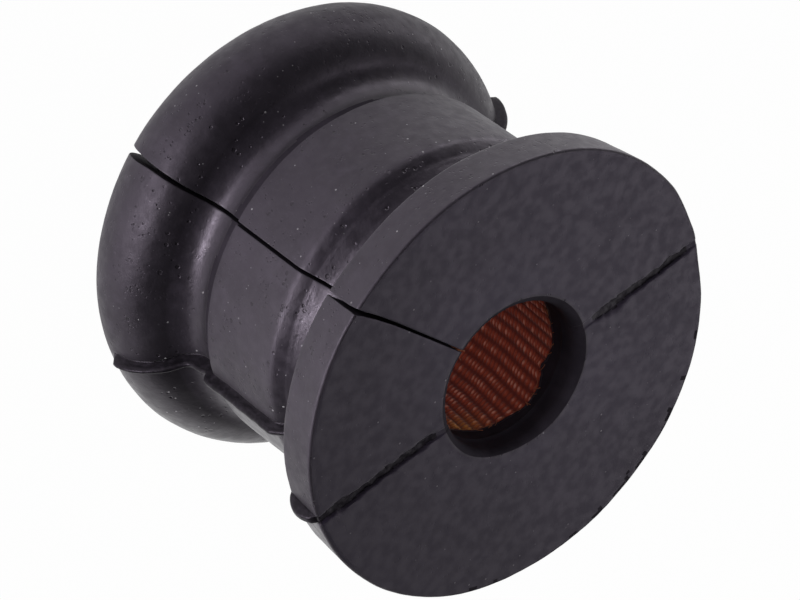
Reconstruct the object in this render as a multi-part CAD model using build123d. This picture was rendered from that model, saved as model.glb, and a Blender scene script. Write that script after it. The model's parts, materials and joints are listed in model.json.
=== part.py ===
from build123d import *
from math import sqrt
import os

# A slit rubber bushing that holds a car's anti-roll bar in its bracket.
# It is moulded in one piece round a woven sleeve, which lines the bore, and a knife cut
# along its whole length lets it open to go round the bar.
#
# Frame, in millimetres: +Z runs along the bore. The bead end stands on z = 0 and the flat
# flange is at the top. Angles turn about +Z from +X, and radii are measured from the bore's axis.

# Length, and the band that the bracket clamps, with a soft shoulder on the flange's side
total_length = 41.75
band_radius = 20.1
shoulder_radius = 6.0

# Flat flange at the top, which stands out past the band
flange_rise = 4.9
flange_draft = 0.4
flange_thickness = 5.1
flange_edge_radius = 0.3
flange_back_edge_radius = 0.5

# Grooves between the band and its two ends
flange_groove_depth = 1.1
flange_groove_radius = 3.9
bead_groove_depth = 1.0
bead_groove_radius = 3.2

# Round bead at the other end, which also stands out past the band
bead_rise = 4.85
bead_section_radius = 6.05

# Bore and its woven lining, which is flush with the rubber
bore_radius = 8.25
bore_lip_radius = 0.75
liner_thickness = 0.8
liner_setback = 4.4

# Marks of the split mould: a fin of flash on each side, a tab on the flange's rim,
# and a torn groove across the flat face on each side of the bore
parting_angle = -26.8
fin_height = 0.95
fin_thickness = 0.8
tab_reach = 1.15
tab_thickness = 1.0
face_groove_width = 1.0
face_groove_depth = 0.45

# Knife cut: the direction it runs out in, how far it lies off the axis on the way up,
# how wide it stands open at the outside, and how much of that is left at the bore
slit_angle = -80.0
slit_offset_at_bead = -0.05
slit_offset_at_band_start = 0.2
slit_offset_at_band_end = 0.33
slit_offset_at_groove = 0.18
slit_offset_at_flange_back = -0.42
slit_offset_at_face = -0.72
slit_width = 0.48
slit_width_at_ends = 0.66
slit_inner_share = 0.45
cut_margin = 2.0

# Circle centres and heights that follow, as (radius, height) in the half plane of the profile
flange_radius = band_radius + flange_rise
bead_radius = band_radius + bead_rise
bead_centre = Vector(bead_radius - bead_section_radius, bead_section_radius)

bead_groove_centre_radius = band_radius - bead_groove_depth + bead_groove_radius
bead_groove_centre = Vector(
    bead_groove_centre_radius,
    bead_centre.Y
    + sqrt(
        (bead_section_radius + bead_groove_radius) ** 2
        - (bead_groove_centre_radius - bead_centre.X) ** 2
    ),
)

flange_back_height = total_length - flange_thickness
flange_groove_centre = Vector(
    band_radius - flange_groove_depth + flange_groove_radius,
    flange_back_height - flange_groove_radius,
)

shoulder_centre_radius = band_radius - shoulder_radius
shoulder_centre = Vector(
    shoulder_centre_radius,
    flange_groove_centre.Y
    - sqrt(
        (flange_groove_radius + shoulder_radius) ** 2
        - (flange_groove_centre.X - shoulder_centre_radius) ** 2
    ),
)

# Corners of the profile
bead_bottom = Vector(bead_centre.X, 0)
bead_side = Vector(bead_radius, bead_centre.Y)
band_start = Vector(
    band_radius,
    bead_groove_centre.Y
    + sqrt(bead_groove_radius ** 2 - (bead_groove_centre.X - band_radius) ** 2),
)
band_end = Vector(band_radius, shoulder_centre.Y)
flange_groove_end = Vector(flange_groove_centre.X, flange_back_height)
flange_back = Vector(flange_radius - flange_draft, flange_back_height)
flange_face = Vector(flange_radius, total_length)

mouth_radius = bore_radius + bore_lip_radius
liner_radius = bore_radius + liner_thickness
liner_length = total_length - 2 * liner_setback
reach = max(flange_radius, bead_radius) + max(fin_height, tab_reach) + cut_margin


def touch_point(centre, radius, other_centre, other_radius):
    """Where two circles that touch from outside meet."""
    return centre + (other_centre - centre) * (radius / (radius + other_radius))


def short_arc(centre, start, end):
    """The shorter arc about a centre from one point to another."""
    towards_middle = (start - centre + end - centre).normalized()
    return ThreePointArc(start, centre + towards_middle * (start - centre).length, end)


def outer_line():
    """Outer side of the profile, from under the bead up to the flat face."""
    bead_end = touch_point(
        bead_centre, bead_section_radius, bead_groove_centre, bead_groove_radius
    )
    shoulder_end = touch_point(
        shoulder_centre, shoulder_radius, flange_groove_centre, flange_groove_radius
    )
    return [
        short_arc(bead_centre, bead_bottom, bead_side),
        short_arc(bead_centre, bead_side, bead_end),
        short_arc(bead_groove_centre, bead_end, band_start),
        Line(band_start, band_end),
        short_arc(shoulder_centre, band_end, shoulder_end),
        short_arc(flange_groove_centre, shoulder_end, flange_groove_end),
        Line(flange_groove_end, flange_back),
        Line(flange_back, flange_face),
    ]


def body_profile():
    """Half section of the rubber, with the bore's rounded lips and the liner's seat."""
    top_lip_centre = Vector(mouth_radius, total_length - bore_lip_radius)
    bottom_lip_centre = Vector(mouth_radius, bore_lip_radius)
    seat_top = total_length - liner_setback
    inner_line = [
        Line(flange_face, (mouth_radius, total_length)),
        short_arc(
            top_lip_centre,
            Vector(mouth_radius, total_length),
            Vector(bore_radius, total_length - bore_lip_radius),
        ),
        Polyline(
            (bore_radius, total_length - bore_lip_radius),
            (bore_radius, seat_top),
            (liner_radius, seat_top),
            (liner_radius, liner_setback),
            (bore_radius, liner_setback),
            (bore_radius, bore_lip_radius),
        ),
        short_arc(
            bottom_lip_centre,
            Vector(bore_radius, bore_lip_radius),
            Vector(mouth_radius, 0),
        ),
        Line((mouth_radius, 0), bead_bottom),
    ]
    profile = make_face(Curve() + outer_line() + inner_line)
    edges = [(flange_face, flange_edge_radius), (flange_back, flange_back_edge_radius)]
    for corner, radius in edges:
        profile = fillet(profile.vertices().sort_by_distance(corner)[0], radius)
    return profile


def moulding_fins():
    """Flash on both sides, which follows the profile from the bead's equator to the flange."""
    to_axis = Polyline(flange_face, (0, total_length), (0, 0), bead_bottom)
    solid_section = make_face(Curve() + outer_line() + to_axis)
    inner_edge = bead_centre.X
    window = Pos(inner_edge, bead_centre.Y) * Rectangle(
        reach - inner_edge,
        flange_back_height - bead_centre.Y,
        align=(Align.MIN, Align.MIN),
    )
    past_rim = Pos(flange_back.X - flange_back_edge_radius, flange_groove_centre.Y) * Rectangle(
        reach,
        flange_thickness + flange_groove_radius,
        align=(Align.MIN, Align.MIN),
    )
    fin_outline = (offset(solid_section, fin_height) & window) - past_rim
    fin = extrude(Plane.XZ * fin_outline, fin_thickness / 2, both=True)
    return [Rot(Z=parting_angle) * fin, Rot(Z=parting_angle + 180) * fin]


def rim_tab():
    """Half-round tab of flash on the flange's rim, as long as the flange is thick."""
    tab_radius = ((flange_thickness / 2) ** 2 + tab_reach ** 2) / (2 * tab_reach)
    tab_centre = Vector(
        flange_radius - flange_draft / 2 + tab_reach - tab_radius,
        total_length - flange_thickness / 2,
    )
    rim_strip = Pos(flange_groove_centre.X, flange_back_height) * Rectangle(
        reach - flange_groove_centre.X,
        flange_thickness,
        align=(Align.MIN, Align.MIN),
    )
    outline = Pos(tab_centre.X, tab_centre.Y) * Circle(tab_radius) & rim_strip
    return Rot(Z=parting_angle) * extrude(Plane.XZ * outline, tab_thickness / 2, both=True)


def face_grooves():
    """Shallow V grooves in the parting plane, across the whole flat face."""
    groove_section = Plane.YZ * make_face(
        Polyline(
            (-face_groove_width / 2, 0),
            (0, -face_groove_depth),
            (face_groove_width / 2, 0),
            close=True,
        )
    )
    groove = Pos(0, 0, total_length) * extrude(groove_section, reach, both=True)
    return Rot(Z=parting_angle) * groove


def slit_section(distance, opening):
    """Cross-section of the knife cut at a distance from the axis, with its share of the opening."""
    stations = [
        (-cut_margin, slit_offset_at_bead, slit_width_at_ends),
        (bead_centre.Y, slit_offset_at_bead, slit_width_at_ends),
        (band_start.Y, slit_offset_at_band_start, slit_width),
        (band_end.Y, slit_offset_at_band_end, slit_width),
        (flange_groove_centre.Y, slit_offset_at_groove, slit_width),
        (flange_back_height, slit_offset_at_flange_back, slit_width),
        (total_length, slit_offset_at_face, slit_width_at_ends),
        (total_length + cut_margin, slit_offset_at_face, slit_width_at_ends),
    ]
    one_side = [(middle - width * opening / 2, height) for height, middle, width in stations]
    other_side = [(middle + width * opening / 2, height) for height, middle, width in stations]
    across = Plane(origin=(0, 0, 0), x_dir=(0, 1, 0), z_dir=(1, 0, 0)).offset(distance)
    return across * make_face(Polyline(*one_side, *reversed(other_side), close=True))


def knife_slit():
    """The cut through one side of the wall, narrower at the bore than at the outside."""
    inner = slit_section(cut_margin, slit_inner_share)
    outer = slit_section(reach, 1)
    return Rot(Z=slit_angle) * loft([inner, outer], ruled=True)


def bushing_body():
    """The moulded rubber."""
    turned = revolve(Plane.XZ * body_profile(), Axis.Z)
    return turned + moulding_fins() + rim_tab() - face_grooves() - knife_slit()


def bore_liner():
    """The woven sleeve in its seat, cut through with the rubber."""
    sleeve = Cylinder(liner_radius, liner_length) - Cylinder(bore_radius, liner_length)
    return Pos(0, 0, total_length / 2) * sleeve - knife_slit()


os.makedirs("parts", exist_ok=True)
export_step(bushing_body(), "parts/bushing_body.step")
export_step(bore_liner(), "parts/bore_liner.step")
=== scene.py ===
import json
from math import atan2, cos, degrees, pi, radians, sin, sqrt, tan

import bpy
import numpy as np
from mathutils import Matrix, Vector, noise


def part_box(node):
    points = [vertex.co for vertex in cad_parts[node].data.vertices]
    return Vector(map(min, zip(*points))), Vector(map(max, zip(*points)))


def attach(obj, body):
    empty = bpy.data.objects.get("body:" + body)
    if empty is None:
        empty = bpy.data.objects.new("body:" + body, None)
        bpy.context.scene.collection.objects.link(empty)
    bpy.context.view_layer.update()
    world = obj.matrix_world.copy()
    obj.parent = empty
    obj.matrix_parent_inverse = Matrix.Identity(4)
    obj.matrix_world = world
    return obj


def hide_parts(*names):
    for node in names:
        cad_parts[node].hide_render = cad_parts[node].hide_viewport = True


# A slit rubber bushing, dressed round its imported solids: moulded rubber with its flash, torn
# parting grooves and knife cut, and the woven sleeve in its bore.
# The named lengths are in millimetres and the named angles in degrees, but the floor and the
# lamps are in metres and watts. +Z runs along the bore and the bead end stands on z = 0.

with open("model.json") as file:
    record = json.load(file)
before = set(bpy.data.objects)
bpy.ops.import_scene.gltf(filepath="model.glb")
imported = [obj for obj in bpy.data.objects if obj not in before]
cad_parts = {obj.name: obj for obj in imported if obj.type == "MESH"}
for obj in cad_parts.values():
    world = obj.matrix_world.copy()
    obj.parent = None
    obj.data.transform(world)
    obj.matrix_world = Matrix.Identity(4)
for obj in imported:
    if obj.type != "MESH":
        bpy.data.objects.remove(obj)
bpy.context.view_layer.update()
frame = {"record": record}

MM = 0.001
mounts = {mount["name"]: mount["dims"] for mount in frame["record"]["mounts"]}
total_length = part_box("bushing_body")[1].z / MM
bore_radius = mounts["bore"]["r_mm"]
band_radius = mounts["bracket_band"]["r_mm"]
liner_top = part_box("bore_liner")[1].z / MM
liner_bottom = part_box("bore_liner")[0].z / MM

# Profile of the rubber
flange_radius = 25.0
flange_draft = 0.4
flange_thickness = 5.1
flange_edge_radius = 0.3
flange_back_edge_radius = 0.5
flange_groove_depth = 1.1
flange_groove_radius = 3.9
shoulder_radius = 6.0
bead_groove_depth = 1.0
bead_groove_radius = 3.2
bead_groove_height = 14.65
bead_radius = 24.95
bead_section_radius = 6.05
bead_height = bead_section_radius
bore_lip_radius = 0.75
liner_thickness = 0.8

# Circle centres, as (radius, height)
bead_centre = (bead_radius - bead_section_radius, bead_height)
bead_groove_centre = (band_radius - bead_groove_depth + bead_groove_radius, bead_groove_height)
flange_back_height = total_length - flange_thickness
flange_groove_centre = (
    band_radius - flange_groove_depth + flange_groove_radius,
    flange_back_height - flange_groove_radius,
)
shoulder_centre = (
    band_radius - shoulder_radius,
    flange_groove_centre[1]
    - sqrt(
        (flange_groove_radius + shoulder_radius) ** 2
        - (flange_groove_centre[0] - band_radius + shoulder_radius) ** 2
    ),
)
draft_angle = degrees(atan2(flange_draft, flange_thickness))

# Slight waves of the moulded surface, as (size, height), and how much of them the face has
surface_waves = [(9.0, 0.07), (2.6, 0.025), (0.8, 0.012)]
face_wave_share = 0.3

# Parting plane with its flash: fins up both sides, which start between two heights from the
# bead's middle and end on the flange's back between two radii, a tab on the rim, torn grooves on
# the face, and the mould's split line round the bead
parting_angle = -26.8
fin_height = 1.08
fin_rise_in_groove = 0.35
fin_half_thickness = 0.36
fin_half_thickness_on_bead = 0.32
fin_root = 0.26
fin_root_depth = 0.2
fin_sway = 0.07
fin_unevenness = 0.1
fin_start_rises = (-0.3, 0.8)
fin_end_radii = (23.3, 24.4)
tab_reach = 1.15
tab_half_thickness = 0.5
tab_sway = 0.06
face_groove_depth = 0.32
face_groove_sway = 0.16
face_groove_steepness = 2.2
split_line_rise = 0.05
split_line_width = 0.3

# Knife cut: its direction, then (height, offset from that direction) up the outside and
# (radius, offset) in across the face, and (height or radius, width) of the gap
slit_angle = -80.0
slit_offsets_up = [
    (0, -0.06),
    (7, -0.05),
    (10, 0.1),
    (18, 0.24),
    (27, 0.33),
    (31.5, 0.19),
    (33.2, -0.02),
    (36.6, -0.42),
    (40, -0.48),
    (41.75, -0.6),
]
slit_offsets_in = [(8.2, -0.66), (10, -0.69), (14, -0.8), (19.3, -0.9), (22, -0.83), (25, -0.6)]
slit_widths_up = [
    (0, 0.95),
    (3, 0.95),
    (5, 0.88),
    (7, 0.56),
    (12, 0.38),
    (33, 0.34),
    (36, 0.38),
    (40.5, 0.42),
    (41.75, 0.62),
]
slit_widths_in = [(8.2, 0.24), (16, 0.3), (22, 0.42), (24, 0.48), (25, 0.62)]
slit_width_at_bore = 0.22
slit_widths_under_foot = [(9, slit_width_at_bore), (19, 0.95)]
slit_lip_radius = 0.08

# Columns of the rubber's mesh: their distances from the cut and from the parting plane, where
# they crowd, and how many steps each of the three stretches between has
columns_at_slit = [0, 0.015, 0.04, 0.08, 0.2, 0.45, 0.8]
columns_at_parting = [0, 0.1, 0.2, 0.28, 0.34, 0.38, 0.42, 0.47, 0.54, 0.64, 0.8, 1.05, 1.4]
steps_between = (51, 139, 127)

# How far the rim stands off its circle, by angle
rim_warp = [
    (0, -0.05),
    (25, -0.15),
    (55, -0.35),
    (85, -0.25),
    (115, -0.3),
    (135, -0.5),
    (148, -0.78),
    (160, -0.4),
    (175, 0.0),
    (200, 0.2),
    (235, -0.05),
    (265, -0.1),
    (295, 0.22),
    (325, 0.3),
    (345, 0.15),
]

# The worst of the nicks on the face's edge lie on this side. They are matt where they reach this
# share of their depth
worn_rim_angle = 84.0
nick_depth = 0.03
matt_nick = 1 / 6

# The torn groove on the far side turns off the parting plane. Each groove's half width and its
# share of the depth change with the distance from the axis
far_groove_turn = 1.2
left_groove_widths = [(9, 0.4), (10.5, 0.55), (12, 0.8), (13.5, 0.66), (18, 0.66), (25, 0.76)]
left_groove_shares = [(9, 0.15), (10, 0.5), (11.5, 1), (25, 1)]
right_groove_widths = [
    (9, 0.5),
    (10, 0.6),
    (12.5, 0.95),
    (15, 0.85),
    (18, 0.64),
    (24, 0.6),
    (25, 0.4),
]
right_groove_shares = [(9, 0.3), (10.4, 0.45), (11.2, 1), (22.5, 1), (24, 0.5), (25, 0.12)]

# Crease where the band starts, with a strip of painted shade from this far under it to this far, and
# how far the shoulder and the near groove sink in from the solid's, by height
band_line_height = 16.25
band_line_width = 0.5
band_line_depth = 0.35
band_line_reach = 0.9
strip_under_band = (1.7, 0.9)
shoulder_sink = [
    (27.5, 0),
    (27.8, 0.05),
    (28, 0.14),
    (28.5, 0.44),
    (29, 0.7),
    (29.3, 0.85),
    (30, 1.02),
    (30.5, 1.09),
    (31, 1.12),
    (31.5, 1.15),
    (32, 1.18),
    (32.75, 1.18),
    (33.5, 1.1),
    (34.5, 0.9),
    (36, 0.5),
    (36.7, 0.3),
]
sunk_parts = ("band", "shoulder", "near groove", "flange back")
face_parts = ("face", "face edge", "lip")

# Fine ring that the core pin left in the throat
ring_depth = 2.6
ring_width = 0.12
ring_rise = 0.16

# Mouth of the bore: a crisp edge on the face, a shallow cone inside it and a rounded lip. It
# stands off its circle by an amount that changes with the angle and blends out across the face
mouth_edge_radius = 9.12
mouth_edge_rounding = 0.08
mouth_cone_angle = 20.0
mouth_lip_rounding = 1.15
mouth_warp = [(-43, 0), (0, -0.15), (47, -0.5), (95, -0.2), (137, 0), (227, 0.05)]
mouth_blend = 3.0

# The bead's flank towards the far groove is darkened with painted shade between two heights above
# its middle. Past the flash the painted shade is darker and starts lower down, and all the rubber is
# smoother. Both begin within some degrees of the parting plane and fade out between two angles
flash_blend = 4.0
past_flash_fade = (60, 90)
flank_rises = (1.5, 5.0)
flank_drops_past_flash = (1.0, 2.8)
smoother_fade = (5, 35)

# How smooth these places are, and how much painted shade darkens them, where plain rubber has 0
sunk_sheen = 1.3
flank_sheen = 0.8
past_flash_sheen = 1.25
sunk_painted_shade = 0.3
sunk_painted_shade_heights = (29, 30.8)
under_band_painted_shade = 1.2
rim_painted_shade = 0.5

# How deep in the bore the lining's uneven end lies, by angle, and over what length the lining
# and the rubber above it are stretched to it
liner_end_depths = [
    (0, 4.7),
    (21, 5.1),
    (40, 4.5),
    (61, 4.2),
    (80, 3.65),
    (95, 3.8),
    (103, 4.3),
    (109, 4.9),
    (116, 4.5),
    (125, 4.2),
    (150, 4.75),
    (190, 4.5),
    (240, 4.2),
    (300, 4.5),
    (335, 4.3),
]
liner_end_blend = 3.0
seat_blend_start = 2.4

# Weave of the lining: ribs round the bore, the pitch of the crossings up each rib, how deep the
# relief is, how far its yarns stand into the bore, and the mesh's steps over a rib and a crossing
rib_count = 44
crossing_pitch = 0.52
relief_depth = 0.38
yarn_rise = 0.03
liner_clearance = 0.05
steps_per_rib = 8
rows_per_crossing = 4
# Place of a yellow patch on the yarns' tops
yellow_patch_angle = 31.0
yellow_patch_height = 36.4

# Loose fibres, which start a little below the lining's end and inside its bore, and the tuft in
# the cut, which starts deeper down and a little outside the bore
fray_count = 70
tuft_count = 14
fibre_points = 6
fibre_root = 0.25
fibre_clearance = 0.05
tuft_start_depth = 3.2
tuft_offset = 0.2
tuft_cut_offset = 0.35
tuft_stoutness = 1.6

# Colours: the tint of what all rubber reflects, then the cut face's shaded and lit sides, whose
# painted light and shade run across it, dust, the lining's yarns with painted shade low between them
# and a painted highlight on their tops, the yellow of a patch on them, and loose fibres
reflection_tint = (0.94, 0.81, 1, 1)
cut_face_shaded_side = (0.0155, 0.0112, 0.0245, 1)
cut_face_lit_side = (0.0345, 0.0275, 0.049, 1)
dust_colour = (0.5, 0.48, 0.51, 1)
yarn_painted_shade = (0.24, 0.028, 0.016, 1)
yarn_body = (0.52, 0.08, 0.036, 1)
yarn_painted_highlight = (0.97, 0.42, 0.31, 1)
yarn_yellow = (0.8, 0.36, 0.05, 1)
fibre_rust = (0.45, 0.1, 0.05, 1)
fibre_tan = (0.5, 0.24, 0.12, 1)

# Camera, fitted to the photograph: turned about the flat face's middle, which it sees to its
# right and below, in millimetres
camera_elevation = 41.863
camera_roll = -125.994
camera_distance = 419.61
camera_right = 11.454
camera_top = -7.848
camera_lens = 189.76

# Studio: its dark side, and how far round that side it is dark
dark_side = (0.1, -0.4, 0.91)
dark_side_edge = -0.15
dark_side_core = 0.15
dark_side_level = 0.1
world_light = 0.35
floor_half_width = 2.0
floor_grey = (0.82, 0.82, 0.82, 1)
floor_glow = 0.985

# Lamps: soft ones as name, direction, distance, width, height and power, those on the floor as
# name, azimuth, distance and power, and one down the bore
soft_lamps = [
    ("key", (0.55, -0.82, 0.10), 0.6, 0.3, 0.1, 0.85),
    ("low_key", (0.57, -0.82, 0.015), 0.6, 0.3, 0.06, 1.3),
    ("low_front", (0.1, -1.0, 0.03), 0.6, 0.3, 0.06, 0.4),
    ("back", (-0.2, 0.76, 0.62), 0.6, 0.3, 0.3, 0.55),
    ("top", (-0.45, 0.3, 0.8), 0.3, 0.15, 0.15, 0.08),
]
floor_lamps = [
    ("floor_front", -50, 0.15, 0.18),
    ("floor_left", 180, 0.13, 0.15),
]
floor_lamp_size = (0.06, 0.12)
floor_lamp_height = 0.002
bore_lamp_direction = (-0.02, -0.7, 0.71)
bore_lamp_distance = 0.8
bore_lamp_power = 3.5
bore_lamp_reach = 0.013
bore_lamp_size = 0.006


def smooth(value):
    """Smooth step from 0 to 1."""
    value = np.clip(value, 0, 1)
    return value * value * (3 - 2 * value)


def between(value, low, high):
    """Smooth step from 0 at low to 1 at high."""
    return smooth((value - low) / (high - low))


def hill(value, middle, width):
    """Smooth hill of height 1."""
    return np.exp(-(((value - middle) / width) ** 2))


def through(value, stops):
    """Straight lines through (place, value) stops."""
    return np.interp(value, *zip(*stops))


def around(angle, stops):
    """A smooth periodic curve through (angle, value) stops."""
    at = np.array([stop[0] for stop in stops], float)
    values = np.array([stop[1] for stop in stops], float)
    at = np.concatenate([at - 360, at, at + 360])
    values = np.tile(values, 3)
    angle = np.mod(angle, 360)
    index = np.searchsorted(at, angle, side="right") - 1
    share = smooth((angle - at[index]) / (at[index + 1] - at[index]))
    return values[index] * (1 - share) + values[index + 1] * share


def rough(points, size, seed, octaves=1):
    """Noise from about -1 to 1 at points, an array of rows (x, y, z), with features of one size."""
    shift = Vector((seed * 17.3, seed * 5.1, seed * 9.7))
    flat = np.asarray(points, float).reshape(-1, 3) / size
    values = np.empty(len(flat))
    for index, point in enumerate(flat):
        place = Vector(point) + shift
        if octaves == 1:
            values[index] = noise.noise(place)
        else:
            values[index] = noise.fractal(place, 1.0, 2.0, octaves)
    return values.reshape(np.asarray(points).shape[:-1])


def from_polar(radius, angle, height):
    """Places (x, y, z) from arrays of radius, angle in radians and height."""
    return np.stack([radius * np.cos(angle), radius * np.sin(angle), height], axis=-1)


def arc(centre, radius, start, end):
    """Closely spaced points on an arc between two angles."""
    count = max(4, int(abs(end - start) / 2))
    angles = np.radians(np.linspace(start, end, count))
    return np.column_stack([centre[0] + radius * np.cos(angles), centre[1] + radius * np.sin(angles)])


def heading(start, end):
    """Angle of the line from one (radius, height) point to another."""
    return degrees(atan2(end[1] - start[1], end[0] - start[0]))


def spaced(points, spacing):
    """Points at an even spacing along a line, without its last one."""
    points = np.asarray(points, float)
    length = np.concatenate([[0], np.cumsum(np.hypot(*np.diff(points, axis=0).T))])
    count = max(1, round(length[-1] / spacing))
    places = np.linspace(0, length[-1], count + 1)[:-1]
    return np.column_stack([np.interp(places, length, points[:, axis]) for axis in (0, 1)])


def mouth_lines():
    """The mouth's crisp edge and its rounded lip, with the cone between them."""
    cone_start = 90 + mouth_cone_angle
    edge_centre = (mouth_edge_radius, total_length - mouth_edge_rounding)
    edge = arc(edge_centre, mouth_edge_rounding, 90, cone_start)
    lip_centre_radius = bore_radius + mouth_lip_rounding
    lip_start_radius = lip_centre_radius + mouth_lip_rounding * cos(radians(cone_start))
    cone_end_height = edge[-1][1] - (edge[-1][0] - lip_start_radius) * tan(radians(mouth_cone_angle))
    lip_centre_height = cone_end_height - mouth_lip_rounding * sin(radians(cone_start))
    lip = arc((lip_centre_radius, lip_centre_height), mouth_lip_rounding, cone_start, 180)
    return edge, lip


def section_rows():
    """The rubber's closed section as rows of the mesh: radius, height and the part each is on."""
    to_groove = heading(bead_centre, bead_groove_centre)
    reach_in = bead_groove_centre[0] - band_radius
    band_start = degrees(atan2(sqrt(bead_groove_radius ** 2 - reach_in ** 2), -reach_in))
    to_shoulder = heading(shoulder_centre, flange_groove_centre)
    seat_radius = bore_radius + liner_thickness
    bottom_lip_centre = (bore_radius + bore_lip_radius, bore_lip_radius)
    back_edge_centre = (
        flange_radius - flange_draft - flange_back_edge_radius,
        flange_back_height + flange_back_edge_radius,
    )
    face_edge_centre = (flange_radius - flange_edge_radius, total_length - flange_edge_radius)

    bottom_lip = arc(bottom_lip_centre, bore_lip_radius, 180, 270)
    bead = arc(bead_centre, bead_section_radius, -90, to_groove)
    far_groove = arc(bead_groove_centre, bead_groove_radius, to_groove + 180, band_start)
    shoulder = arc(shoulder_centre, shoulder_radius, 0, to_shoulder)
    near_groove = arc(flange_groove_centre, flange_groove_radius, to_shoulder + 180, 90)
    back_edge = arc(back_edge_centre, flange_back_edge_radius, -90, -draft_angle)
    face_edge = arc(face_edge_centre, flange_edge_radius, -draft_angle, 90)
    mouth_edge, top_lip = mouth_lines()
    past_crease = (band_radius, band_line_height + band_line_reach)
    sink_start = (band_radius, shoulder_sink[0][0])
    seat = [
        (bore_radius, liner_top),
        (seat_radius, liner_top),
        (seat_radius, liner_bottom),
        (bore_radius, liner_bottom),
    ]

    # each stretch of the section, with the spacing of its rows. The lining hides the seat's wall,
    # which has one row
    stretches = [
        ("foot lip", bottom_lip, 0.3),
        ("foot", [bottom_lip[-1], bead[0]], 0.9),
        ("bead", bead, 0.44),
        ("far groove", far_groove, 0.26),
        ("band", [far_groove[-1], past_crease], 0.15),
        ("band", [past_crease, sink_start], 0.4),
        ("band", [sink_start, shoulder[0]], 0.22),
        ("shoulder", shoulder, 0.2),
        ("near groove", near_groove, 0.33),
        ("flange back", [near_groove[-1], back_edge[0]], 0.33),
        ("back edge", back_edge, 0.16),
        ("rim", [back_edge[-1], face_edge[0]], 0.36),
        ("face edge", face_edge, 0.1),
        ("face", [face_edge[-1], mouth_edge[0]], 0.34),
        ("lip", mouth_edge, 0.03),
        ("lip", [mouth_edge[-1], top_lip[0]], 0.14),
        ("lip", top_lip, 0.14),
        ("throat", [top_lip[-1], seat[0]], 0.3),
        ("seat", seat[:2], 0.4),
        ("seat", seat[1:3], liner_top - liner_bottom),
        ("seat", seat[2:], 0.4),
        ("foot throat", [seat[3], bottom_lip[0]], 0.5),
    ]
    rows = []
    parts = []
    for name, points, spacing in stretches:
        found = spaced(points, spacing)
        rows.append(found)
        parts += [name] * len(found)
    radius, height = np.concatenate(rows).T
    return radius, height, np.array(parts)


def stepped(start, end, shares):
    """Angles from start to end, both columns, at the given shares of the way."""
    return start[:, None] + (end - start)[:, None] * np.asarray(shares)[None]


def slit_line(radius, height, parts):
    """Direction in radians and half width of the knife cut at each row."""
    across = np.isin(parts, ["face", "lip"])
    offset = np.where(across, through(radius, slit_offsets_in), through(height, slit_offsets_up))
    width = np.where(across, through(radius, slit_widths_in), through(height, slit_widths_up))
    width = np.where(parts == "foot", through(radius, slit_widths_under_foot), width)
    inside = np.isin(parts, ["throat", "seat", "foot throat", "foot lip"])
    width = np.where(inside, slit_width_at_bore, width)
    return radians(slit_angle) + np.arcsin(offset / radius), width / 2


def mesh_columns(radius, height, parts):
    """Angle of every column at every row, and its distances from the cut and both fins."""
    at_slit = np.array(columns_at_slit)
    at_parting = np.array(columns_at_parting)
    at_parting = np.concatenate([-at_parting[:0:-1], at_parting])
    slit_reach = at_slit[-1] / radius
    parting_reach = at_parting[-1] / radius
    slit_shares = at_slit / at_slit[-1]
    parting_shares = (at_parting + at_parting[-1]) / (2 * at_parting[-1])
    shares_between = [np.arange(1, steps) / steps for steps in steps_between]

    slit_middle, slit_half = slit_line(radius, height, parts)
    start = slit_middle + slit_half / radius
    end = slit_middle + radians(360) - slit_half / radius
    first = np.full(len(radius), radians(parting_angle))
    far_turn = radians(far_groove_turn) * between(height, flange_back_height, total_length)
    second = radians(parting_angle + 180) + far_turn
    sections = [
        stepped(start, start + slit_reach, slit_shares),
        stepped(start + slit_reach, first - parting_reach, shares_between[0]),
        stepped(first - parting_reach, first + parting_reach, parting_shares),
        stepped(first + parting_reach, second - parting_reach, shares_between[1]),
        stepped(second - parting_reach, second + parting_reach, parting_shares),
        stepped(second + parting_reach, end - slit_reach, shares_between[2]),
        stepped(end - slit_reach, end, 1 - slit_shares[::-1]),
    ]
    angle = np.concatenate(sections, axis=1)
    from_slit = np.minimum(angle - start[:, None], end[:, None] - angle) * radius[:, None]
    from_first = (angle - first[:, None]) * radius[:, None]
    from_second = (angle - second[:, None]) * radius[:, None]
    return angle, from_slit, from_first, from_second


class Grid:
    """The rubber's vertices before any relief, as rows by columns."""

    def __init__(self):
        radius, height, self.parts = section_rows()
        columns = mesh_columns(radius, height, self.parts)
        self.angle, self.from_slit, self.from_first, self.from_second = columns
        self.turn = np.degrees(self.angle)
        line = np.column_stack([radius, height])
        along = np.roll(line, -1, axis=0) - np.roll(line, 1, axis=0)
        along /= np.hypot(*along.T)[:, None]
        self.normal_out = along[:, 1][:, None]
        self.normal_up = -along[:, 0][:, None]
        self.radius = radius[:, None] + np.zeros_like(self.angle)
        self.height = height[:, None] + np.zeros_like(self.angle)
        self.at = from_polar(self.radius, self.angle, self.height)

    def on(self, *names):
        """1 on rows of these parts and 0 elsewhere, as a column."""
        return np.isin(self.parts, names).astype(float)[:, None]


def moulded_waves(grid):
    """Slight waves of the surface, fainter on the flat face and none in the bore."""
    outside = 1 - grid.on("seat", "throat", "foot throat")
    level = 1 - (1 - face_wave_share) * grid.on("face")
    waves = [
        wave_height * rough(grid.at, size, seed)
        for seed, (size, wave_height) in enumerate(surface_waves, 1)
    ]
    return outside * level * sum(waves)


def blade(across, half_thickness):
    """Height share of a fin with steep sides and a rounded top."""
    share = np.clip(1 - np.abs(across / half_thickness) ** 4, 0, 1)
    return np.sqrt(share)


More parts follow.
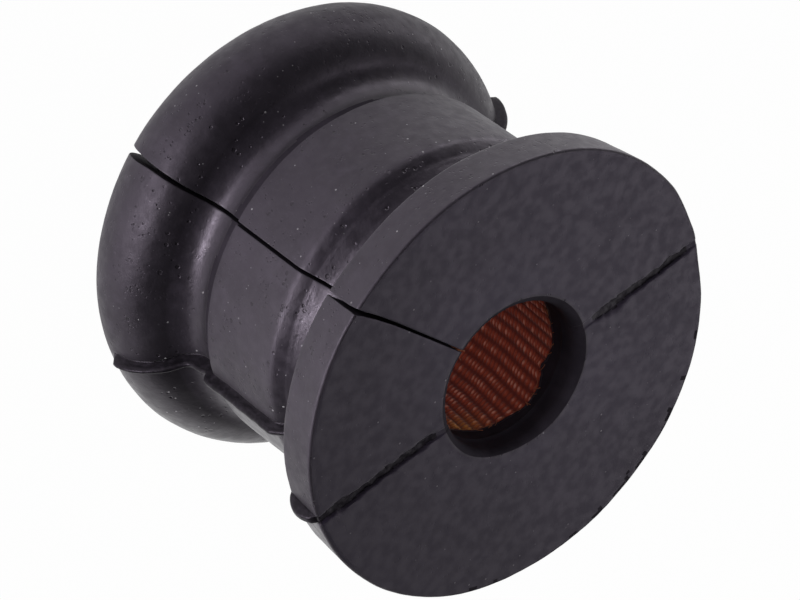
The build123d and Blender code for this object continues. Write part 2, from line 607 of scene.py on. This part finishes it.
def with_fins(grid, rise):
    """The relief with fins of flash from the bead to the flange, and where they and their roots are."""
    rows = grid.on("bead", "far groove", "band", "shoulder", "near groove", "flange back")
    rows = rows * between(grid.height - bead_height, *fin_start_rises)
    near_rim = between(grid.radius, *fin_end_radii) * grid.on("flange back", "near groove")
    rows = rows * (1 - near_rim)
    past_bead = between(grid.height, bead_height + 3, bead_groove_height)
    half = fin_half_thickness_on_bead + (fin_half_thickness - fin_half_thickness_on_bead) * past_bead
    fins = np.zeros_like(rise)
    near_fin = np.zeros_like(rise)
    for across, seed in ((grid.from_first, 4), (grid.from_second, 5)):
        sway = fin_sway * rough(grid.at * [0, 0, 1], 3.1, seed)
        uneven = 1 + fin_unevenness * rough(grid.at * [0.3, 0.3, 1], 1.3, seed + 10)
        from_middle = np.abs(across + sway)
        fins += blade(from_middle, half) * uneven
        # the flash rubber reaches past each fin over its root, as painted shade along the root
        near_fin += from_middle < half + fin_root
        root_line = hill(from_middle, half + fin_root / 2, fin_root / 2)
        rise = rise - fin_root_depth * root_line * rows
    fin_top = fin_height + fin_rise_in_groove * hill(grid.height, bead_groove_height, 2.0)
    rise = rise * (1 - rows * fins) + rows * fins * fin_top
    return rise, (rows > 0.4) * near_fin


def rim_tab(grid):
    """How far the half-round tab stands out of the rim, and where it and its root are."""
    tab_radius = ((flange_thickness / 2) ** 2 + tab_reach ** 2) / (2 * tab_reach)
    from_middle = grid.height - (total_length - flange_thickness / 2)
    rows = grid.on("rim", "back edge", "face edge")
    stands_out = np.sqrt(np.clip(tab_radius ** 2 - from_middle ** 2, 0, None)) - tab_radius + tab_reach
    across = grid.from_first + tab_sway * rough(grid.at, 2.6, 2)
    # the flash rubber reaches over the tab's root too, as painted shade along it
    near_tab = (np.abs(across) < tab_half_thickness + fin_root) * (stands_out > 0.05) * rows
    return np.clip(stands_out, 0, None) * blade(across, tab_half_thickness) * rows, near_tab


def torn_grooves(grid):
    """Ragged grooves across the flat face: where they are, from 0 to 1, and how deep."""
    torn = np.zeros_like(grid.radius)
    for across, widths, shares, seed in (
        (grid.from_first, left_groove_widths, left_groove_shares, 6),
        (grid.from_second, right_groove_widths, right_groove_shares, 7),
    ):
        ragged = 1 + 0.45 * rough(grid.at, 0.9, seed) + 0.2 * rough(grid.at, 0.35, seed + 2)
        half_width = through(grid.radius, widths) * ragged
        sway = face_groove_sway * rough(grid.at, 2.2, seed + 20)
        inward = 1 - np.abs(across + sway) / half_width
        torn += through(grid.radius, shares) * smooth(face_groove_steepness * inward)
    torn = np.clip(torn, 0, 1) * grid.on(*face_parts)
    return torn, torn * face_groove_depth * (1 + 0.3 * rough(grid.at, 0.5, 8))


def band_crease(grid):
    """The crease where the band starts, from 0 to 1, and the groove's side just under it."""
    line_at = band_line_height + 0.1 * rough(grid.at * [1, 1, 0], 3, 15)
    crease = hill(grid.height, line_at, band_line_width) * grid.on("far groove", "band")
    crease = np.clip(crease * (0.9 + 0.4 * rough(grid.at, 3, 16)), 0, 1)
    strip_start, strip_full = strip_under_band
    strip = between(grid.height, line_at - strip_start, line_at - strip_full)
    under_band = grid.on("far groove") * strip
    return crease, under_band


def edge_nicks(grid):
    """Nicks along the face's ragged, trimmed edge, worst on its worn side."""
    edge = grid.on("face edge") + grid.on("face") * hill(grid.radius, flange_radius, 1.0)
    nicks = between(rough(grid.at * [1, 1, 0.3], 1.6, 13, octaves=3), -0.2, 0.3)
    nicks = np.maximum(nicks, 0.4 * hill(grid.radius, flange_radius, 0.5))
    from_worst = (grid.angle - radians(worn_rim_angle)) * 1.5
    worn_side = 0.05 + 0.95 * np.cos(np.clip(from_worst, -pi / 2, pi / 2))
    return nicks * np.clip(edge, 0, 1) * worn_side


def cut_lips(grid):
    """How far the rounded lips of the knife cut lie under the surface."""
    inward = np.clip(slit_lip_radius - grid.from_slit, 0, slit_lip_radius)
    return slit_lip_radius - np.sqrt(slit_lip_radius ** 2 - inward ** 2)


def liner_end_shift(angle):
    """How much deeper in the bore the lining ends than its solid does."""
    return around(np.degrees(angle), liner_end_depths) - (total_length - liner_top)


def seat_drop(grid):
    """How far the end of the lining's seat goes down with the lining's uneven end."""
    rows = grid.on("seat", "throat") * (grid.height > total_length / 2)
    rows = rows * between(grid.height, total_length - seat_blend_start, liner_top)
    return liner_end_shift(grid.angle) * rows


def stand_off(grid):
    """How far the rim, the face and the mouth stand off their circles."""
    flange_share = grid.on("near groove", "flange back", "back edge", "rim", "face edge")
    flange_share = flange_share * between(grid.height, flange_groove_centre[1], flange_back_height)
    past_bore = grid.radius - bore_radius
    face_share = grid.on("face") * past_bore / (flange_radius - bore_radius)
    lip_share = grid.on("lip") * past_bore / (mouth_edge_radius - bore_radius)
    near_mouth = np.clip(1 - (grid.radius - mouth_edge_radius) / mouth_blend, 0, 1)
    rim = (flange_share + face_share) * around(grid.turn, rim_warp)
    mouth = (lip_share + grid.on("face") * near_mouth) * around(grid.turn, mouth_warp)
    return rim + mouth


def rubber_masks(grid, under_band):
    """Where the rubber is smooth, cut or darkened by painted shade: the grooves, the sunk shoulder, the
    bead's flank towards the far groove, more of it past the flash, the strip under the band, the rim,
    and all that lies just past the flash."""
    past_flash = between(grid.turn, parting_angle - flash_blend, parting_angle + flash_blend)
    past_flash = past_flash * (1 - between(grid.turn, *past_flash_fade))
    flank_start = bead_height + flank_rises[0] - flank_drops_past_flash[0] * past_flash
    flank_full = bead_height + flank_rises[1] - flank_drops_past_flash[1] * past_flash
    flank = between(grid.height, flank_start, flank_full) * grid.on("bead") * (1 + 0.5 * past_flash)
    sink_start = shoulder_sink[0][0]
    sunk = grid.on(*sunk_parts) * between(grid.height, sink_start, sink_start + 1)
    painted_shade_on_sunk = sunk_painted_shade * sunk * between(grid.height, *sunk_painted_shade_heights)
    smoother = past_flash * (1 - between(grid.turn, *smoother_fade))
    smoother = smoother * (1 - grid.on(*face_parts))
    sheen = grid.on("far groove") + sunk_sheen * sunk + flank_sheen * flank
    # painted shade: how far the colour is darkened on the flank, the sunk shoulder, the strip under the
    # band and the rim
    black = flank + painted_shade_on_sunk + under_band_painted_shade * under_band + rim_painted_shade * grid.on("rim")
    return {
        "sheen": np.maximum(sheen, past_flash_sheen * smoother),
        "cut_face": grid.on("face"),
        "black": black,
    }


def rubber_points():
    """Places of the rubber's vertices as rows by columns, with its masks for the shader and for
    the places that have another material."""
    grid = Grid()
    rise, flash = with_fins(grid, moulded_waves(grid))
    tab, near_tab = rim_tab(grid)
    torn, torn_depth = torn_grooves(grid)
    crease, under_band = band_crease(grid)
    nicks = edge_nicks(grid)
    sunk_depth = through(grid.height, shoulder_sink) * grid.on(*sunk_parts)
    split_line = hill(grid.height, bead_height, split_line_width) * grid.on("bead")
    split_line = split_line * (grid.radius > bead_centre[0] + 3)
    ring = hill(grid.height, total_length - ring_depth, ring_width) * grid.on("throat")

    rise = rise - torn_depth - band_line_depth * crease - sunk_depth + split_line_rise * split_line
    rise = rise - nick_depth * nicks - cut_lips(grid) + ring_rise * ring
    radius = grid.radius + rise * grid.normal_out + tab + stand_off(grid)
    height = grid.height + rise * grid.normal_up - seat_drop(grid)

    mouth = grid.on("throat", "foot throat", "lip", "foot lip")
    # painted shade: the band's crease and the strip under it get the matt throat rubber, as do the
    # nicks along the face's edge
    painted_shade_and_nicks = (crease > 0.5) | (under_band > 0.9) | (nicks > matt_nick)
    painted = {
        "throat": mouth + painted_shade_and_nicks,
        "torn": torn,
        "flash": flash + near_tab,
    }
    return from_polar(radius, grid.angle, height), rubber_masks(grid, under_band), painted


def mesh_object(name, places, faces, masks=None, sharp_angle=45):
    """A shaded mesh object from places in millimetres, with its masks as attributes."""
    mesh = bpy.data.meshes.new(name)
    mesh.from_pydata((places.reshape(-1, 3) * MM).tolist(), [], faces)
    mesh.update()
    for key, values in (masks or {}).items():
        layer = mesh.attributes.new(key, "FLOAT", "POINT")
        values = np.broadcast_to(values, places.shape[:-1])
        layer.data.foreach_set("value", values.astype(np.float32).ravel())
    mesh.shade_smooth()
    mesh.set_sharp_from_angle(angle=radians(sharp_angle))
    made = bpy.data.objects.new(name, mesh)
    bpy.context.scene.collection.objects.link(made)
    return made


def grid_faces(rows, columns, closed_rows=False, closed_columns=False):
    """Quads of a grid of vertices, facing along rows turned towards columns."""
    row = np.arange(rows if closed_rows else rows - 1)
    column = np.arange(columns if closed_columns else columns - 1)
    row, column = np.meshgrid(row, column, indexing="ij")
    next_row = (row + 1) % rows
    next_column = (column + 1) % columns
    quads = np.stack(
        [
            row * columns + column,
            row * columns + next_column,
            next_row * columns + next_column,
            next_row * columns + column,
        ],
        axis=-1,
    )
    return quads.reshape(-1, 4).tolist()


def slit_ring_faces(rows, columns):
    """Faces of a closed section turned round the bore, with the knife cut's two walls."""
    first_wall = [row * columns for row in range(rows)]
    last_wall = [row * columns + columns - 1 for row in reversed(range(rows))]
    return grid_faces(rows, columns, closed_rows=True) + [first_wall, last_wall]


def rubber_body():
    """The moulded rubber, and where it has other materials than its own."""
    places, masks, painted = rubber_points()
    # the cut's walls get the throat's matt rubber too, as painted shade in the narrow cut
    painted["throat"][:, [0, -1]] = 1
    made = mesh_object("rubber_body", places, slit_ring_faces(*places.shape[:2]), masks)
    return made, painted


def lining_relief(turn, height):
    """Height share of the weave, 1 on top of a yarn, and each crossing's random value."""
    across = turn * rib_count
    rib = np.floor(across)
    from_crest = across - rib - 0.5
    drift = rough(np.stack([across * 0.6, height / 2.5, 0 * height], axis=-1), 1.0, 34)
    along = height / crossing_pitch + 0.5 * np.mod(rib, 2) + 0.5 * from_crest + 0.6 * drift
    crossing = np.floor(along)
    from_top = along - crossing - 0.5
    crest = 0.5 + 0.5 * np.cos(2 * np.pi * from_crest)
    top = 0.5 + 0.5 * np.cos(2 * np.pi * from_top)
    chance = rough(np.stack([rib * 3.7, crossing * 2.9, 0 * rib], axis=-1), 1.0, 31)
    share = crest ** 0.7 * (0.35 + 0.65 * top ** 0.8) * (0.85 + 0.4 * chance)
    return np.clip(share, 0, 1), chance


def bore_lining():
    """The woven sleeve, with its yarns in relief, an uneven end and a gap at the knife cut."""
    inner_rows = round((liner_top - liner_bottom) / crossing_pitch * rows_per_crossing)
    inner_height = np.linspace(liner_top, liner_bottom, inner_rows)
    height = np.concatenate([[liner_bottom, liner_top], inner_height])
    radius = np.full(len(height), bore_radius)
    radius[:2] = bore_radius + liner_thickness - liner_clearance
    middle, half = slit_line(radius, height, np.full(len(height), "throat"))
    turn = np.linspace(0, 1, rib_count * steps_per_rib + 1)
    angle = stepped(middle + half / radius, middle + radians(360) - half / radius, turn)
    turn = turn[None] + np.zeros_like(angle)
    radius = radius[:, None] + np.zeros_like(angle)
    height = height[:, None] + np.zeros_like(angle)
    inner = np.arange(len(height))[:, None] >= 2

    at = from_polar(radius, angle, height)
    end_shift = liner_end_shift(angle) + 0.12 * rough(at * [1, 1, 0], 0.5, 32)
    share, chance = lining_relief(turn, height)
    height = height - end_shift * between(height, liner_top - liner_end_blend, liner_top)
    wave = 0.05 * rough(at, 3.0, 33)
    radius = radius + inner * (relief_depth * (1 - share) + wave - yarn_rise)
    places = from_polar(radius, angle, height)

    yellow_patch = hill(np.degrees(angle), yellow_patch_angle, 16) * hill(height, yellow_patch_height, 2.4) * inner
    # painted light: the yarns' tops grow paler towards the lining's end at the mouth
    painted_light_at_end = 0.3 * between(height, liner_top - liner_end_blend, liner_top - 0.5)
    masks = {"crown": share * inner, "chance": chance + painted_light_at_end, "yellow": yellow_patch}
    return mesh_object("bore_lining", places, slit_ring_faces(*places.shape[:2]), masks, 180)


def thread(points, radius, sides=5):
    """A thin closed tube through points: its vertices and faces."""
    heading_on = np.gradient(points, axis=0)
    heading_on /= np.linalg.norm(heading_on, axis=1)[:, None]
    side = np.cross(heading_on, [0.3, 0.2, 0.93])
    side /= np.linalg.norm(side, axis=1)[:, None]
    other = np.cross(heading_on, side)
    turns = np.linspace(0, 2 * np.pi, sides, endpoint=False)
    ring = np.cos(turns)[None, :, None] * side[:, None] + np.sin(turns)[None, :, None] * other[:, None]
    places = points[:, None] + radius * ring
    faces = grid_faces(len(points), sides, closed_columns=True)
    first = list(reversed(range(sides)))
    last = [(len(points) - 1) * sides + side_index for side_index in range(sides)]
    return places.reshape(-1, 3), [list(reversed(face)) for face in faces + [first, last]]


def end_fibre(chance):
    """Middle line of a loose fibre that leans up from the lining's end."""
    share = np.linspace(0, 1, fibre_points)
    turn = chance.uniform(-70, 270)
    length = chance.uniform(0.3, 0.9)
    lean = chance.uniform(-8, 8)
    inward = chance.uniform(0.0, 0.35) * share ** 2
    height = total_length - around(turn, liner_end_depths) - fibre_root + length * share
    angle = np.radians(turn + lean * share ** 1.5)
    return from_polar(bore_radius - fibre_clearance - inward, angle, height)


def tuft_fibre(chance):
    """Middle line of a fibre that pokes out of the knife cut at the mouth."""
    share = np.linspace(0, 1, fibre_points)
    end_depth = chance.uniform(0.1, 0.9)
    height = np.linspace(total_length - tuft_start_depth, total_length - end_depth, fibre_points)
    at_wall = np.full(fibre_points, bore_radius + tuft_cut_offset)
    middle, _ = slit_line(at_wall, height, np.full(fibre_points, "throat"))
    angle = middle + np.radians(chance.uniform(-1.2, 1.2) + 2.5 * chance.normal() * share ** 2)
    radius = bore_radius + tuft_offset + chance.uniform(-0.2, 0.5) * share + 0.15 * share ** 2
    return from_polar(radius, angle, height)


def frayed_threads():
    """Loose fibres at the lining's end, and a tuft that pokes out of the cut at the mouth."""
    chance = np.random.default_rng(7)
    places = []
    faces = []
    kinds = [(end_fibre, 1.0)] * fray_count + [(tuft_fibre, tuft_stoutness)] * tuft_count
    for fibre, stoutness in kinds:
        found, found_faces = thread(fibre(chance), stoutness * chance.uniform(0.02, 0.045))
        offset = sum(len(part) for part in places)
        places.append(found)
        faces += [[offset + corner for corner in face] for face in found_faces]
    return mesh_object("lining_fray", np.concatenate(places), faces, None, 180)


class Shader:
    """A short way to build the node tree of a material or a world."""

    def __init__(self, owner):
        self.owner = owner
        owner.use_nodes = True
        self.tree = owner.node_tree
        self.tree.nodes.clear()

    def node(self, kind, inputs=None, **settings):
        """A node with its settings, and with a value or a link for each input."""
        made = self.tree.nodes.new("ShaderNode" + kind)
        for key, value in settings.items():
            setattr(made, key, value)
        for key, value in (inputs or {}).items():
            if isinstance(value, bpy.types.NodeSocket):
                self.tree.links.new(value, made.inputs[key])
            else:
                made.inputs[key].default_value = value
        return made

    def math(self, operation, first, second):
        return self.node("Math", {0: first, 1: second}, operation=operation).outputs[0]

    def times(self, first, *others):
        for other in others:
            first = self.math("MULTIPLY", first, other)
        return first

    def without(self, value, share=1.0):
        """1, less a share of a value."""
        return self.math("SUBTRACT", 1.0, self.times(value, share))

    def ramp(self, value, low, high, start=0.0, end=1.0):
        """Smooth step from start at low to end at high."""
        inputs = {0: value, 1: low, 2: high, 3: start, 4: end}
        return self.node("MapRange", inputs, interpolation_type="SMOOTHSTEP").outputs[0]

    def mix(self, share, first, second):
        return self.node("Mix", {0: share, 6: first, 7: second}, data_type="RGBA").outputs[2]

    def mask(self, name):
        return self.node("Attribute", attribute_name=name).outputs["Fac"]

    def where(self):
        return self.node("TexCoord").outputs["Object"]

    def noise(self, where, size, detail=2.0, rough_share=0.5):
        """Noise with features of a size in millimetres, centred on 0.5."""
        inputs = {"Vector": where, "Scale": 1 / (size * MM), "Detail": detail, "Roughness": rough_share}
        return self.node("TexNoise", inputs).outputs["Fac"]

    def cells(self, where, size):
        """Distance from the middle of cells of a size in millimetres, and each one's random value."""
        made = self.node("TexVoronoi", {"Vector": where, "Scale": 1 / (size * MM)})
        return made.outputs["Distance"], made.outputs["Color"]

    def finish(self, surface, output="OutputMaterial"):
        self.node(output, {"Surface": surface})
        return self.owner

    def finish_relief(self, inputs, relief, strength, depth):
        """Finishes a surface with these inputs and with a relief of a depth in millimetres."""
        bump = self.node("Bump", {"Strength": strength, "Distance": depth * MM, "Height": relief})
        shader = self.node("BsdfPrincipled", {**inputs, "Normal": bump.outputs[0]})
        return self.finish(shader.outputs[0])


def grey(value):
    """Neutral colour with the rubber's faint violet cast."""
    return (value * 1.08, value * 0.9, value * 1.22, 1)


def rubber_colour(look, where, grain):
    """Mottled black; on the cut face a violet grey, painted paler towards one side as painted light,
    with clouds; and painted shade, near black, where the black mask lies.
    """
    colour = look.mix(look.ramp(look.noise(where, 6.0, 3), 0.35, 0.65), grey(0.017), grey(0.025))
    mottle = look.ramp(look.noise(where, 2.6, 4, 0.6), 0.5, 0.7, 0.0, 0.7)
    colour = look.mix(mottle, colour, grey(0.036))
    colour = look.mix(look.ramp(grain, 0.5, 0.85), colour, grey(0.034))
    # painted light: the cut face grows paler across it towards one side, with clouds of random tone
    across_face = look.node("SeparateXYZ", {0: where}).outputs[0]
    clouds = look.ramp(look.noise(where, 11.0, 1), 0.3, 0.7, -0.2, 0.2)
    paler = look.math("ADD", look.ramp(across_face, 22 * MM, -22 * MM), clouds)
    cut = look.mix(look.ramp(paler, 0.0, 1.0), cut_face_shaded_side, cut_face_lit_side)
    colour = look.mix(look.mask("cut_face"), colour, cut)
    # painted shade: the bead's flank, the sunk shoulder, the strip under the band and the rim are
    # darkened towards near black
    return look.mix(look.times(look.mask("black"), 0.6), colour, grey(0.007))


def fleck_layer(look, where):
    """Small dark scuffs of many sizes, in patches."""
    distance, value = look.cells(where, 0.8)
    flecks = look.ramp(look.math("SUBTRACT", look.times(value, 0.36), distance), -0.02, 0.08)
    return look.times(flecks, look.ramp(look.noise(where, 3.4, 2), 0.5, 0.58))


def dust_layer(look, where):
    """Pale specks of two sizes, in patches."""
    distance, value = look.cells(where, 1.5)
    coarse = look.times(look.ramp(distance, 0.085, 0.055), look.ramp(value, 0.4, 0.46))
    coarse = look.times(coarse, look.ramp(look.noise(where, 5.0, 2), 0.45, 0.53))
    distance, value = look.cells(where, 0.7)
    fine = look.times(look.ramp(distance, 0.12, 0.06), look.ramp(value, 0.5, 0.6))
    fine = look.times(fine, look.ramp(look.noise(where, 4.0, 3), 0.5, 0.6, 0.0, 0.6))
    return look.math("MAXIMUM", coarse, fine)


def rubber_material():
    """Carbon-black rubber: mottled, pitted and dusty, and smoother in its grooves."""
    look = Shader(bpy.data.materials.new("moulded_rubber"))
    where = look.where()
    face = look.mask("cut_face")
    sheen = look.mask("sheen")
    grain = look.noise(where, 0.5, 3, 0.6)
    flecks = look.times(fleck_layer(look, where), look.without(face))
    dust = look.times(dust_layer(look, where), look.without(face, 0.6))
    colour = rubber_colour(look, where, grain)
    colour = look.mix(look.times(flecks, 0.8), colour, grey(0.006))
    colour = look.mix(look.times(dust, 0.7), colour, dust_colour)

    roughness = look.ramp(look.noise(where, 1.2, 3), 0.3, 0.7, 0.5, 0.62)
    roughness = look.math("SUBTRACT", roughness, look.times(sheen, 0.17))
    pits = look.ramp(look.cells(where, 0.5)[0], 0.3, 0.1)
    pits = look.times(pits, look.ramp(look.noise(where, 2.2, 2), 0.5, 0.62), look.without(sheen, 0.8))
    relief = look.math("SUBTRACT", look.times(grain, 0.4), pits)
    relief = look.math("SUBTRACT", relief, flecks)
    relief = look.times(relief, look.without(face, 0.88))
    inputs = {
        "Base Color": colour,
        "Roughness": roughness,
        "Specular IOR Level": 0.56,
        "Specular Tint": reflection_tint,
        "Sheen Weight": 0.1,
        "Sheen Roughness": 0.4,
    }
    return look.finish_relief(inputs, relief, 0.8, 0.08)


def throat_material():
    """Matt rubber of the mouth, the throat, the cut's walls, the band's crease and the nicks. On the
    cut's walls, the crease and the strip under the band it is painted shade.
    """
    look = Shader(bpy.data.materials.new("throat_rubber"))
    where = look.where()
    patches = look.ramp(look.noise(where, 2.5, 3), 0.35, 0.65)
    inputs = {
        "Base Color": look.mix(patches, grey(0.022), grey(0.03)),
        "Roughness": 0.75,
        "Specular IOR Level": 0.15,
        "Specular Tint": reflection_tint,
    }
    return look.finish_relief(inputs, look.noise(where, 0.6, 3), 0.3, 0.05)


def torn_material(name, dark, pale, shine):
    """Flash and torn places: fresh, blacker rubber with a ragged surface. Along the fins' and the tab's
    roots, and partly in the torn grooves, its darkness is painted shade.
    """
    look = Shader(bpy.data.materials.new(name))
    ragged = look.noise(look.where(), 0.6, 3, 0.5)
    inputs = {
        "Base Color": look.mix(look.ramp(ragged, 0.4, 0.7), grey(dark), grey(pale)),
        "Roughness": 0.38,
        "Specular IOR Level": shine,
        "Specular Tint": reflection_tint,
    }
    return look.finish_relief(inputs, ragged, 0.6, 0.08)


def lining_material():
    """Rust-coloured woven yarn, with painted shade low between the ribs and a painted highlight on top
    of each crossing.
    """
    look = Shader(bpy.data.materials.new("woven_lining"))
    where = look.where()
    crown = look.mask("crown")
    # painted shade between the yarns and a painted highlight on their tops, stronger at random
    # crossings and towards the lining's end
    colour = look.mix(look.ramp(crown, 0.05, 0.45), yarn_painted_shade, yarn_body)
    painted_highlight_share = look.ramp(look.mask("chance"), -0.35, 0.35, 0.25, 0.95)
    colour = look.mix(look.times(look.ramp(crown, 0.5, 0.85), painted_highlight_share), colour, yarn_painted_highlight)
    yellow_patch = look.times(look.mask("yellow"), look.ramp(crown, 0.2, 0.7, 0.3, 0.8))
    inputs = {
        "Base Color": look.mix(yellow_patch, colour, yarn_yellow),
        "Roughness": 0.75,
        "Sheen Weight": 0.3,
        "Sheen Roughness": 0.5,
    }
    return look.finish_relief(inputs, look.noise(where, 0.09, 2), 0.5, 0.04)


def fray_material():
    """Loose fibres of the lining."""
    look = Shader(bpy.data.materials.new("loose_fibre"))
    colour = look.mix(look.noise(look.where(), 1.0, 1), fibre_rust, fibre_tan)
    shader = look.node("BsdfPrincipled", {"Base Color": colour, "Roughness": 0.7})
    return look.finish(shader.outputs[0])


def paint_where(piece, material, mask):
    """Gives the faces whose corners all lie in a mask another material."""
    index = len(piece.data.materials)
    piece.data.materials.append(material)
    inside = mask.ravel() > 0.5
    for face in piece.data.polygons:
        if all(inside[corner] for corner in face.vertices):
            face.material_index = index


def dress(piece, material, slot, *nodes):
    """Gives a piece its material, and lets it ride and stand for its solids. Its slot is not used."""
    piece.data.materials.append(material)
    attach(piece, "root")
    if nodes:
        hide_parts(*nodes)


def studio_floor():
    """A plain white floor that still takes the bushing's shadow."""
    half = floor_half_width
    mesh = bpy.data.meshes.new("floor")
    corners = [(-half, -half, 0), (half, -half, 0), (half, half, 0), (-half, half, 0)]
    mesh.from_pydata(corners, [], [(0, 1, 2, 3)])
    floor = bpy.data.objects.new("floor", mesh)
    bpy.context.scene.collection.objects.link(floor)
    look = Shader(bpy.data.materials.new("white_floor"))
    path = look.node("LightPath").outputs
    seen = look.math("MAXIMUM", path["Is Camera Ray"], path["Is Glossy Ray"])
    seen = look.math("MAXIMUM", seen, path["Is Transmission Ray"])
    matt = look.node("BsdfDiffuse", {"Color": floor_grey})
    white = look.node("Emission", {"Color": (1, 1, 1, 1), "Strength": 1.0})
    share = look.times(seen, floor_glow)
    both = look.node("MixShader", {0: share, 1: matt.outputs[0], 2: white.outputs[0]})
    mesh.materials.append(look.finish(both.outputs[0]))


def studio_world():
    """White all round, but dark on one side of the room, and dimmer as a light than seen."""
    world = bpy.data.worlds.new("studio")
    bpy.context.scene.world = world
    look = Shader(world)
    where = look.node("TexCoord").outputs["Generated"]
    towards = look.node("VectorMath", {0: where, 1: dark_side}, operation="DOT_PRODUCT")
    fade = look.ramp(towards.outputs["Value"], dark_side_edge, dark_side_core, 1.0, dark_side_level)
    path = look.node("LightPath").outputs
    as_light = look.ramp(path["Is Diffuse Ray"], 0.0, 1.0, 1.0, world_light)
    strength = look.times(fade, as_light)
    white_when_seen = look.node("Mix", {0: path["Is Camera Ray"], 2: strength, 3: 1.0})
    light = look.node("Background", {"Strength": white_when_seen.outputs[0]})
    look.finish(light.outputs[0], "OutputWorld")


def new_lamp(name, kind, power):
    """A lamp of a kind and power, and its object."""
    lamp = bpy.data.lights.new(name, kind)
    lamp.energy = power
    made = bpy.data.objects.new(name, lamp)
    bpy.context.scene.collection.objects.link(made)
    return lamp, made


def aim(made, target, direction, distance):
    """Places a lamp's object in a direction from a target and turns it to face that."""
    towards = Vector(direction).normalized()
    made.location = target + towards * distance
    made.rotation_mode = "QUATERNION"
    made.rotation_quaternion = towards.to_track_quat("Z", "Y")


def soft_lamp(name, direction, distance, width, tall, power):
    """A rectangular soft light that faces the bushing's middle."""
    lamp, made = new_lamp(name, "AREA", power)
    lamp.shape = "RECTANGLE"
    lamp.size = width
    lamp.size_y = tall
    aim(made, Vector((0, 0, total_length * MM / 2)), direction, distance)


def bore_lamp():
    """A narrow soft-edged light aimed down the bore, a little wider there than its mouth."""
    lamp, made = new_lamp("bore_lamp", "SPOT", bore_lamp_power)
    lamp.spot_size = 2 * atan2(bore_lamp_reach, bore_lamp_distance)
    lamp.spot_blend = 0.6
    lamp.shadow_soft_size = bore_lamp_size
    aim(made, Vector((0, 0, total_length * MM)), bore_lamp_direction, bore_lamp_distance)


def floor_lamp(name, azimuth, distance, power):
    """A soft light that lies on the floor beside the bushing and faces up, unseen by the camera."""
    lamp, made = new_lamp(name, "AREA", power)
    lamp.shape = "RECTANGLE"
    lamp.size, lamp.size_y = floor_lamp_size
    turn = radians(azimuth)
    made.location = (distance * cos(turn), distance * sin(turn), floor_lamp_height)
    made.rotation_euler = (pi, 0, turn)
    made.visible_camera = False


def photo_camera():
    """The camera, placed from the middle of the flat face by its elevation, roll and distance."""
    elevation = radians(camera_elevation)
    roll = radians(camera_roll)
    level = Vector((1, 0, 0))
    upright = Vector((0, sin(elevation), cos(elevation)))
    back = Vector((0, -cos(elevation), sin(elevation)))
    right = cos(roll) * level - sin(roll) * upright
    top = sin(roll) * level + cos(roll) * upright
    data = bpy.data.cameras.new("camera")
    data.sensor_width = 36
    data.lens = camera_lens
    data.clip_start = 0.01
    data.clip_end = 50
    camera = bpy.data.objects.new("camera", data)
    bpy.context.scene.collection.objects.link(camera)
    face_middle = Vector((0, 0, total_length))
    place = face_middle - camera_right * right - camera_top * top + camera_distance * back
    turned = Matrix((right, top, back)).transposed().to_4x4()
    camera.matrix_world = Matrix.Translation(place * MM) @ turned
    bpy.context.scene.camera = camera


rubber, painted_places = rubber_body()
dress(rubber, rubber_material(), "moulded_rubber", "bushing_body")
# the throat, torn and flash rubbers also paint shade: on the cut's walls, the band's crease and the
# strip under it, partly in the torn grooves and along the fins' roots
paint_where(rubber, throat_material(), painted_places["throat"])
paint_where(rubber, torn_material("torn_rubber", 0.015, 0.031, 0.12), painted_places["torn"])
paint_where(rubber, torn_material("flash_rubber", 0.006, 0.018, 0.22), painted_places["flash"])
dress(bore_lining(), lining_material(), "woven_lining", "bore_liner")
dress(frayed_threads(), fray_material(), "woven_lining")

studio_floor()
studio_world()
for soft_lamp_values in soft_lamps:
    soft_lamp(*soft_lamp_values)
bore_lamp()
for floor_lamp_values in floor_lamps:
    floor_lamp(*floor_lamp_values)
photo_camera()

bpy.context.scene.view_settings.view_transform = "Standard"
